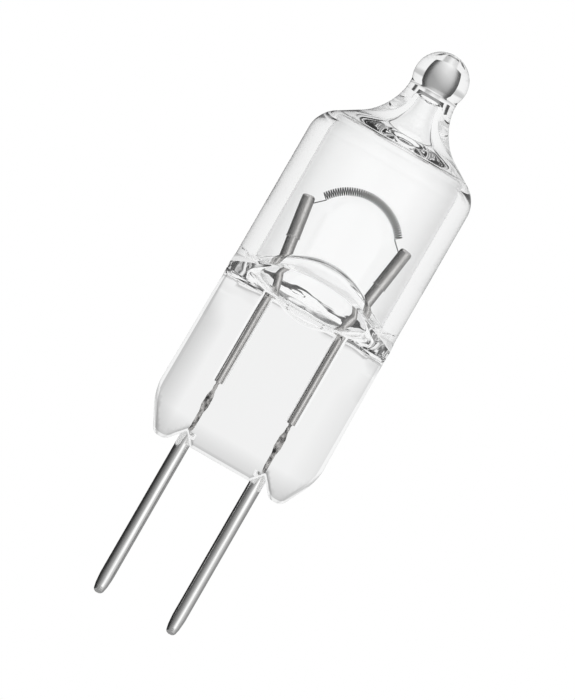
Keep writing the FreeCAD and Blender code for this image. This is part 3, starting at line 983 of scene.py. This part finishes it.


# small cards behind the tip and the neck, each seen through two surfaces of glass or more, up to
# its crossings. Each is a dim glowing sheet that paints the dark blocks and streaks seen in the
# glass of the tip and neck: painted shade. Their tones run from left to right and upwards, and
# their borders are uneven.
shadeCards = {
    "tip": {
        "across": 0.0,
        "width": 1.25,
        "bottom": 20.72,
        "top": 22.9,
        "behind": 3.2,
        "acrossTones": [
            (0.0, 0.02), (0.16, 0.04), (0.27, 0.22), (0.50, 0.34), (0.74, 0.28), (0.84, 0.05),
            (1.0, 0.02),
        ],
        "heightTones": [(0.0, 3.0), (0.20, 2.2), (0.36, 1.1), (1.0, 0.9)],
        "lean": 0.30,
        "crossings": 8,
    },
    "neck": {
        "across": 0.0,
        "width": 0.64,
        "bottom": 19.72,
        "top": 20.22,
        "behind": 2.6,
        "acrossTones": [
            (0.0, 0.02), (0.16, 0.05), (0.24, 0.30), (0.76, 0.34), (0.86, 0.10), (1.0, 0.04),
        ],
        "heightTones": [(0.0, 1.1), (1.0, 0.9)],
        "lean": 0.0,
        "crossings": 8,
    },
    "right flank": {
        "across": -0.66,
        "width": 0.44,
        "bottom": 19.10,
        "top": 20.30,
        "behind": 2.6,
        "acrossTones": [(0.0, 1.0), (0.15, 0.10), (0.45, 0.02), (0.80, 0.05), (1.0, 1.0)],
        "heightTones": [(0.0, 1.0), (1.0, 1.0)],
        "lean": 0.0,
        "crossings": 2,
    },
    "left flank": {
        "across": 0.62,
        "width": 0.40,
        "bottom": 19.70,
        "top": 20.50,
        "behind": 2.6,
        "acrossTones": [(0.0, 1.0), (0.20, 0.15), (0.45, 0.03), (0.75, 0.10), (1.0, 1.0)],
        "heightTones": [(0.0, 1.0), (1.0, 1.0)],
        "lean": 0.0,
        "crossings": 2,
    },
}
cardGrain = 720        # grains per millimetre
cardShake = 0.5        # how far they shift the tones, as a share of the width


def cardMaterial(name, card):
    material = bpy.data.materials.new(name + " card")
    material.use_nodes = True
    nodes, links = material.node_tree.nodes, material.node_tree.links
    nodes.clear()
    place = placeInMillimetres(nodes, links, (1, 1, 1))
    split = nodes.new("ShaderNodeSeparateXYZ")
    links.new(place, split.inputs[0])

    offset = mathNode(nodes, links, "SUBTRACT", split.outputs["X"], card["across"])
    sideways = mathNode(nodes, links, "DIVIDE", offset, card["width"])
    grain = nodes.new("ShaderNodeTexNoise")
    grain.inputs["Scale"].default_value = cardGrain
    links.new(place, grain.inputs["Vector"])
    centred = mathNode(nodes, links, "SUBTRACT", grain.outputs[0], 0.5)
    shake = mathNode(nodes, links, "MULTIPLY", centred, cardShake)
    shaken = mathNode(nodes, links, "ADD", sideways, shake)
    share = mathNode(nodes, links, "ADD", shaken, 0.5)
    across = greyRamp(nodes, links, share, card["acrossTones"])

    above = mathNode(nodes, links, "SUBTRACT", split.outputs["Z"], card["bottom"])
    rise = mathNode(nodes, links, "DIVIDE", above, card["top"] - card["bottom"])
    leaning = mathNode(nodes, links, "MULTIPLY", sideways, card["lean"])
    up = greyRamp(nodes, links, mathNode(nodes, links, "ADD", rise, leaning), card["heightTones"])

    # painted shade: the card glows with these dark tones only where it is seen through the glass
    clear = nodes.new("ShaderNodeBsdfTransparent")
    grey = nodes.new("ShaderNodeEmission")
    links.new(mixNode(nodes, links, 1.0, across, up, "MULTIPLY"), grey.inputs["Color"])
    path = nodes.new("ShaderNodeLightPath")
    shown = between(nodes, links, path.outputs["Transmission Depth"], 1.5, card["crossings"] + 0.5)
    mix = nodes.new("ShaderNodeMixShader")
    links.new(shown, mix.inputs[0])
    links.new(clear.outputs[0], mix.inputs[1])
    links.new(grey.outputs[0], mix.inputs[2])
    output = nodes.new("ShaderNodeOutputMaterial")
    links.new(mix.outputs[0], output.inputs["Surface"])
    material.cycles.emission_sampling = "NONE"
    return material


def setCard(name, card):
    bm = bmesh.new()
    middle = Vector((card["across"], card["behind"], (card["bottom"] + card["top"]) / 2))
    upright = Matrix.Rotation(math.radians(90), 4, "X")
    size = Matrix.Diagonal((card["width"], card["top"] - card["bottom"], 1, 1))
    bmesh.ops.create_grid(
        bm, x_segments=1, y_segments=1, size=0.5, matrix=Matrix.Translation(middle) @ upright @ size,
    )
    bmesh.ops.scale(bm, verts=bm.verts[:], vec=(mm, mm, mm))
    piece = asObject(bm, name + "_card")
    piece.data.materials.append(cardMaterial(name, card))


setCamera()
setWorld()
setFloor()
for cardName, card in shadeCards.items():
    setCard(cardName, card)
print("studio done")

drawnSurface = surfaceGroup()
pinMetal = metal("drawn pin wire", finishes["pin"])
leadMetal = metal("drawn lead wire", finishes["lead"])
sleeveMetal = metal("sleeve metal", finishes["sleeve"])
foilMetal = metal("rolled foil", finishes["foil"])
darkenedFilamentMetal = metal("filament wire painted dark", finishes["filament"])
print("materials done")

quartzEnvelope(quartzGlass())
print("envelope done")
for sideName, side in sides.items():
    contactPin(sideName, side, pinMetal)
    innerLead(sideName, side, leadMetal)
    leadSleeve(sideName, side, sleeveMetal)
    sealFoil(sideName, side, foilMetal)
filamentCoil(darkenedFilamentMetal)
print("metal done")

bpy.context.scene.view_settings.view_transform = "Standard"
